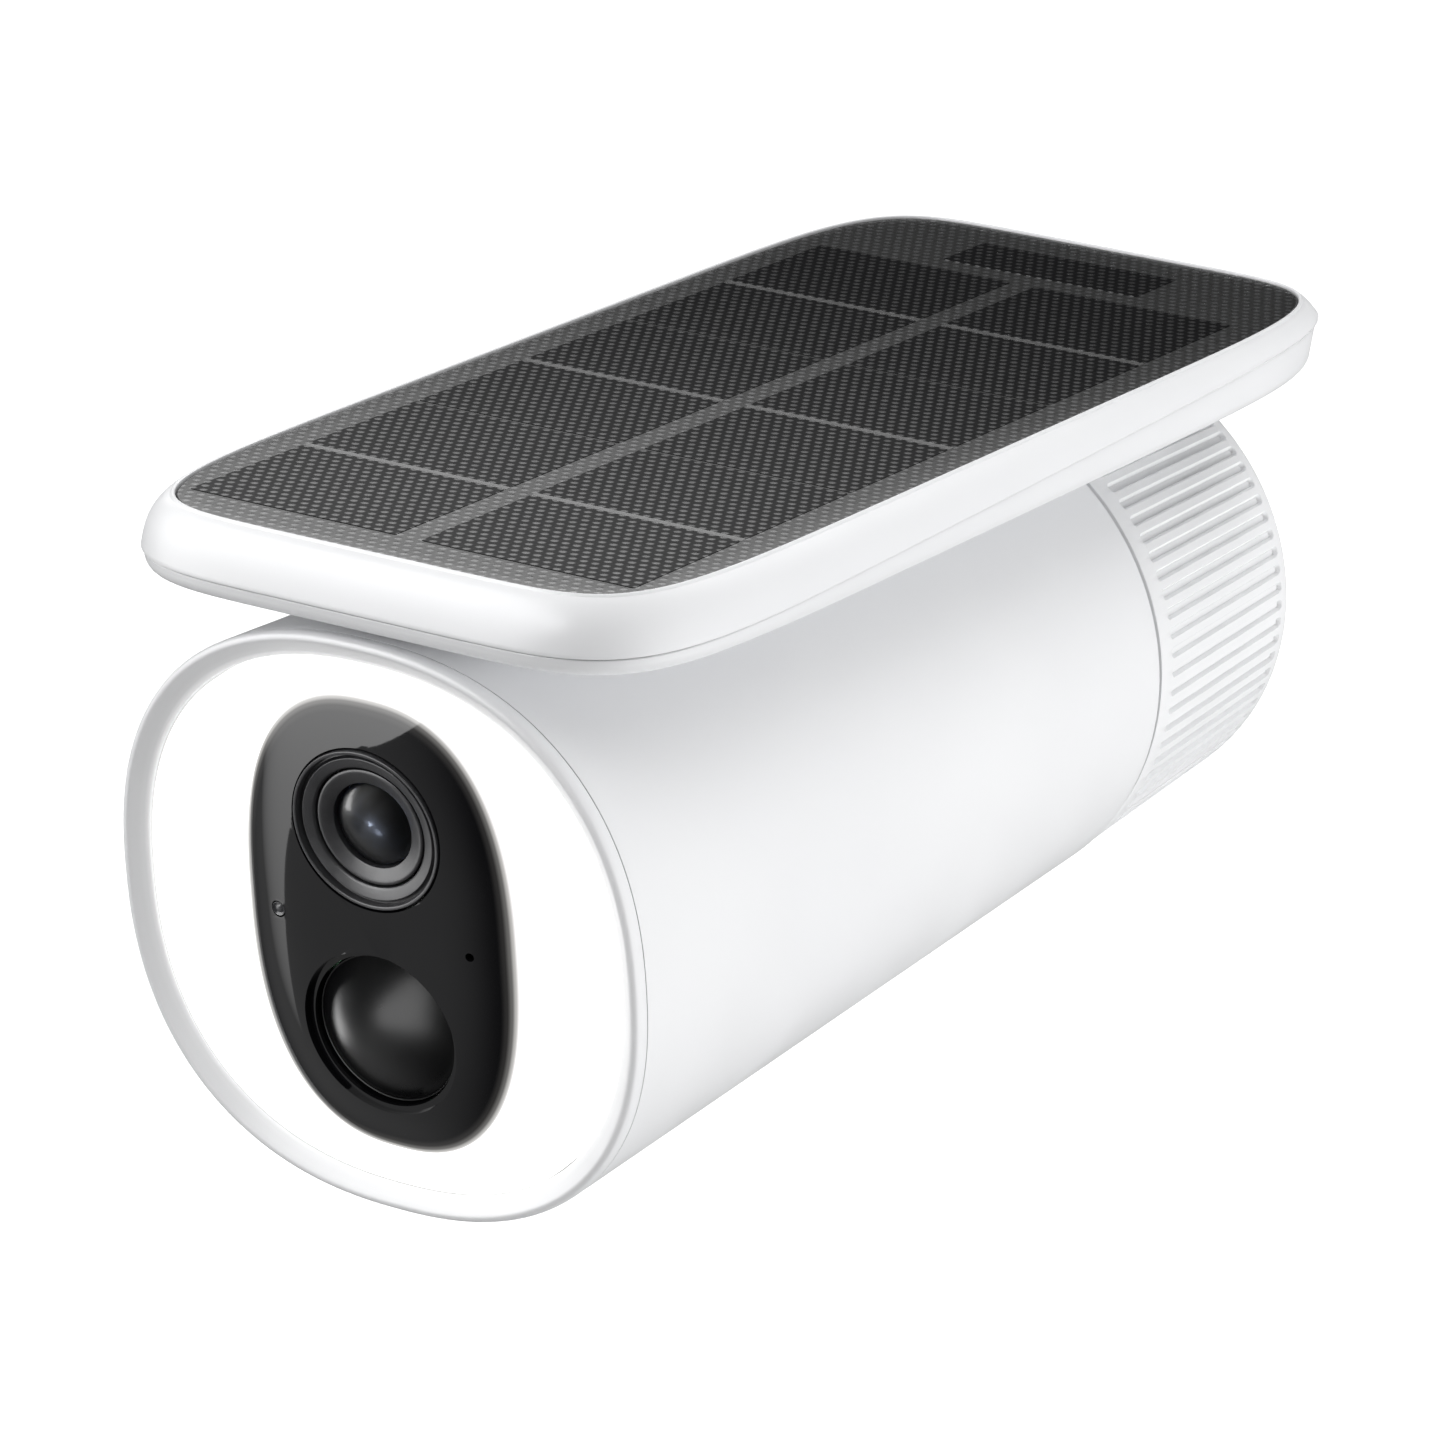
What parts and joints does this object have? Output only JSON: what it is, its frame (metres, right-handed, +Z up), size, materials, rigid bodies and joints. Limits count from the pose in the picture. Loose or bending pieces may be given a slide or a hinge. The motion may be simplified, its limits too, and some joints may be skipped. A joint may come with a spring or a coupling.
{
  "type": "solar security camera",
  "caption": "Wall-hung battery camera with a lens and motion sensor in a glowing oval face and a solar panel on a turning ring.",
  "frame": {"origin": "centre of the rear mounting face, on the body axis", "axes": "+Y along the body axis out of the rear face, so the lens looks towards -Y; +Z up, through the middle of the solar panel; +X to the side"},
  "size_m": [0.085, 0.1964, 0.0912],
  "materials": {
    "white_plastic": "satin moulded",
    "black_gloss": "polished",
    "black_satin": "satin",
    "lens_glass": "coated",
    "glow": "frosted, lit",
    "solar_film": "embossed clear film over dark cells",
    "cell_dark": "silicon cells on a board",
    "board_green": "solder mask",
    "board_white": "white solder mask",
    "rubber_dark": "matte",
    "rubber_white": "matte",
    "steel": "plated",
    "brass": "turned",
    "cell_wrap": "shrink-wrapped cell",
    "grey_plastic": "moulded"
  },
  "bodies": {
    "camera": {"antenna": "board_green", "battery_cell_1": "cell_wrap", "battery_cell_2": "cell_wrap", "battery_cell_3": "cell_wrap", "battery_cell_4": "cell_wrap", "battery_cradle": "grey_plastic", "body_shell": "white_plastic", "cap_screw_1": "steel", "cap_screw_2": "steel", "cap_screw_3": "steel", "cap_screw_4": "steel", "charging_socket": "steel", "face_plate": "black_gloss", "face_screw_1": "steel", "face_screw_2": "steel", "face_screw_3": "steel", "face_screw_4": "steel", "friction_band": "rubber_dark", "front_bezel": "white_plastic", "front_chassis": "grey_plastic", "front_seal": "rubber_dark", "image_sensor_board": "board_green", "led_ring_board": "board_white", "lens_barrel": "black_satin", "lens_bezel": "black_satin", "lens_glass": "lens_glass", "light_diffuser": "glow", "light_sensor_window": "grey_plastic", "main_board": "board_green", "microphone": "steel", "motion_lens": "black_gloss", "motion_sensor": "steel", "motion_sensor_board": "board_green", "mount_insert": "brass", "port_board": "board_green", "power_switch": "black_satin", "rear_bulkhead": "grey_plastic", "rear_cap": "white_plastic", "speaker": "black_satin"},
    "solar_head": {"grip_ring": "white_plastic", "panel_arm": "white_plastic", "arm_screw_1": "steel", "arm_screw_2": "steel", "panel_tray": "white_plastic", "panel_frame": "white_plastic", "solar_sheet": "solar_film", "panel_seal": "rubber_dark", "cell_board": "cell_dark", "charge_board": "board_green", "tray_screw_1": "steel", "tray_screw_2": "steel", "tray_screw_3": "steel", "tray_screw_4": "steel"},
    "flap": {"port_flap": "rubber_white"},
    "button": {"power_button": "grey_plastic"}
  },
  "joints": [
    {"name": "panel_turn", "type": "hinge", "parent": "camera", "child": "solar_head", "pos_m": [0, 0, 0], "axis": [0, 1, 0], "range_deg": [-15, 15]},
    {"name": "flap_hinge", "type": "hinge", "parent": "camera", "child": "flap", "pos_m": [0, -0.0012, -0.0215], "axis": [-1, 0, 0], "range_deg": [0, 110], "stiffness_Nm_per_rad": 0.0004},
    {"name": "button_press", "type": "slide", "parent": "camera", "child": "button", "axis": [0, -1, 0], "range_m": [0, 0.0006], "stiffness_N_per_m": 300}
  ]
}
